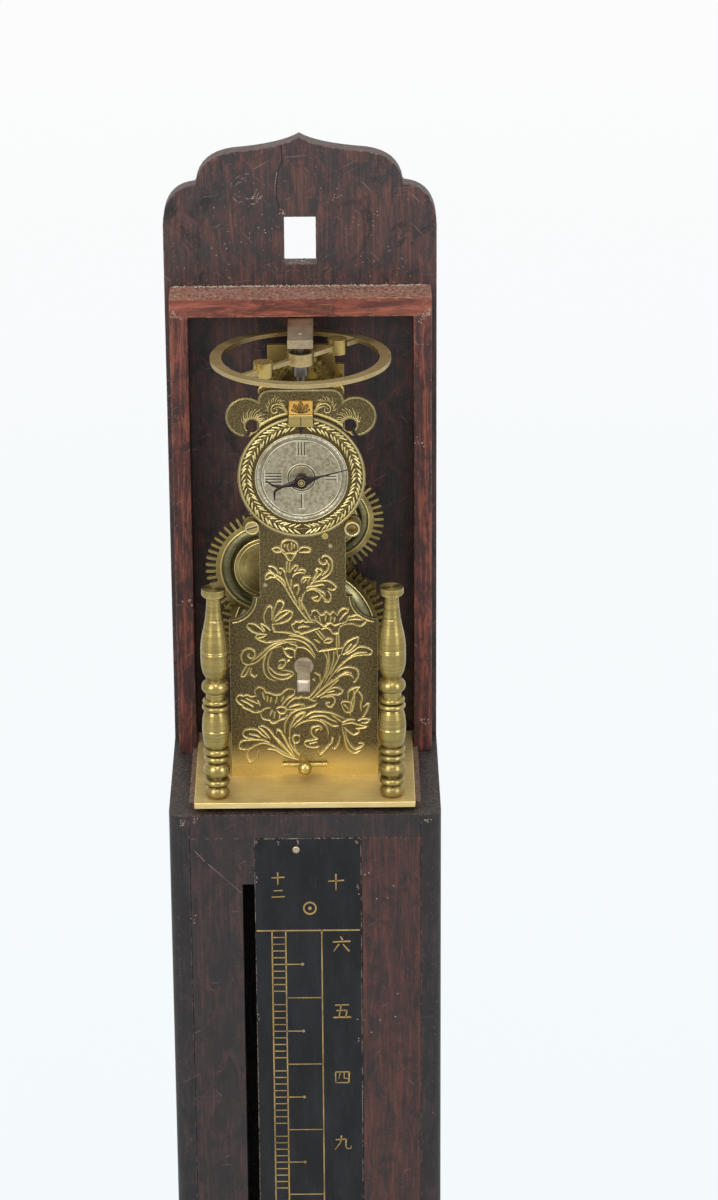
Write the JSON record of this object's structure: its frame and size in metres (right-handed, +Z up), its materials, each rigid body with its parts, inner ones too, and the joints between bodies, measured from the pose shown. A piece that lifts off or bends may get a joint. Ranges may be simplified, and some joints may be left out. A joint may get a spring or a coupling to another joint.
{
  "type": "japanese clock",
  "caption": "Japanese pillar clock: narrow dark wood trunk with hour scale and key drawer, brass verge movement with turned columns, dial, balance wheel and driving weight.",
  "frame": {"origin": "centre of the hanging slot on the back face of the backboard", "axes": "+Z up along the case, +Y out of the back into the wall, the dial faces -Y, +X to the right as seen from the front"},
  "size_m": [0.07, 0.062, 0.4532],
  "materials": {
    "dark_wood": "worn dark red lacquer over vertical grain",
    "red_wood": "worn red-brown lacquer",
    "lacquer": "black lacquer with gilt divisions, chipped edges",
    "brass": "aged polished brass, engraved and stippled in places",
    "silvered_brass": "matte silvered",
    "steel": "worn satin, slightly brown",
    "blued_steel": "dark blued",
    "cord": "twisted brown cord"
  },
  "bodies": {
    "case": {"backboard": "dark_wood", "hood_rail_left": "red_wood", "hood_rail_right": "red_wood", "hood_rail_top": "red_wood", "trunk_side_left": "dark_wood", "trunk_side_right": "dark_wood", "trunk_stile_left": "dark_wood", "trunk_stile_right": "dark_wood", "trunk_rail_top": "dark_wood", "trunk_rail_low": "dark_wood", "scale_batten": "dark_wood", "seat_board": "dark_wood", "drawer_divider": "dark_wood", "bottom_board": "dark_wood", "scale_board": "lacquer", "base_plate": "brass", "front_plate": "brass", "back_plate": "brass", "plate_pillars": "brass", "column_left": "brass", "column_right": "brass", "dial_plate": "brass", "chapter_disc": "silvered_brass", "dial_clamp_screw": "brass", "dial_clamp_collar": "brass", "dial_pin": "brass", "index_block": "brass", "index_point": "blued_steel", "foot_stud": "brass", "foot_cross_pin": "brass", "potence": "brass", "balance_cock": "steel", "cock_screw": "steel", "weight_cord": "cord"},
    "drawer": {"drawer_front": "red_wood", "drawer_box": "red_wood", "drawer_knob": "brass", "winding_key": "brass"},
    "weight": {"weight_body": "brass", "weight_pointer": "steel"},
    "barrel": {"barrel": "brass", "winding_arbor": "steel", "ratchet_wheel": "steel", "cord_turns": "cord"},
    "great": {"great_wheel": "brass", "click_spring": "blued_steel"},
    "click": {"click": "steel"},
    "second": {"second_wheel": "brass", "second_arbor": "steel"},
    "third": {"third_wheel": "brass", "third_arbor": "steel"},
    "dial_train": {"fourth_wheel": "brass", "dial_arbor": "steel", "dial_hand": "blued_steel"},
    "crown": {"crown_wheel": "brass", "crown_arbor": "steel"},
    "balance": {"verge": "blued_steel", "balance_wheel": "brass"},
    "rate_left": {"rate_weight_left": "brass"},
    "rate_right": {"rate_weight_right": "brass"}
  },
  "joints": [
    {"name": "weight_slide", "type": "slide", "parent": "case", "child": "weight", "axis": [0, 0, 1], "range_m": [0, 0.21], "deforming": ["weight_cord"]},
    {"name": "barrel_turn", "type": "hinge", "parent": "case", "child": "barrel", "pos_m": [0, -0.024, -0.1043], "axis": [0, 1, 0], "range_deg": [0, 1830]},
    {"name": "great_wheel_turn", "type": "hinge", "parent": "case", "child": "great", "pos_m": [0, -0.015, -0.1043], "axis": [0, 1, 0], "continuous": true},
    {"name": "click_lift", "type": "hinge", "parent": "great", "child": "click", "pos_m": [0.0086, -0.0165, -0.0993], "axis": [0, 1, 0], "range_deg": [-8, 0], "stiffness_Nm_per_rad": 0.0001},
    {"name": "second_turn", "type": "hinge", "parent": "case", "child": "second", "pos_m": [-0.00965, -0.024, -0.0818], "axis": [0, 1, 0], "continuous": true},
    {"name": "third_turn", "type": "hinge", "parent": "case", "child": "third", "pos_m": [0.00714, -0.024, -0.0713], "axis": [0, 1, 0], "continuous": true},
    {"name": "hand_turn", "type": "hinge", "parent": "case", "child": "dial_train", "pos_m": [0, -0.024, -0.0523], "axis": [0, 1, 0], "continuous": true},
    {"name": "crown_turn", "type": "hinge", "parent": "case", "child": "crown", "pos_m": [0, -0.018, -0.0323], "axis": [0, 1, 0], "continuous": true},
    {"name": "balance_swing", "type": "hinge", "parent": "case", "child": "balance", "pos_m": [0, -0.029, -0.0242], "axis": [0, 0, 1], "range_deg": [-24, 24]},
    {"name": "rate_left_slide", "type": "slide", "parent": "balance", "child": "rate_left", "axis": [-0.7071, -0.7071, 0], "range_m": [-0.004, 0.0035]},
    {"name": "rate_right_slide", "type": "slide", "parent": "balance", "child": "rate_right", "axis": [0.7071, 0.7071, 0], "range_m": [-0.004, 0.0035]},
    {"name": "drawer_slide", "type": "slide", "parent": "case", "child": "drawer", "axis": [0, -1, 0], "range_m": [0, 0.038]}
  ],
  "couplings": [
    {"joint": "barrel_turn", "follows": "weight_slide", "rad_per_m": 150.15},
    {"joint": "crown_turn", "follows": "hand_turn", "ratio": -1.8571},
    {"joint": "third_turn", "follows": "hand_turn", "ratio": -0.52174},
    {"joint": "second_turn", "follows": "hand_turn", "ratio": 0.16696},
    {"joint": "great_wheel_turn", "follows": "hand_turn", "ratio": -0.018551}
  ]
}
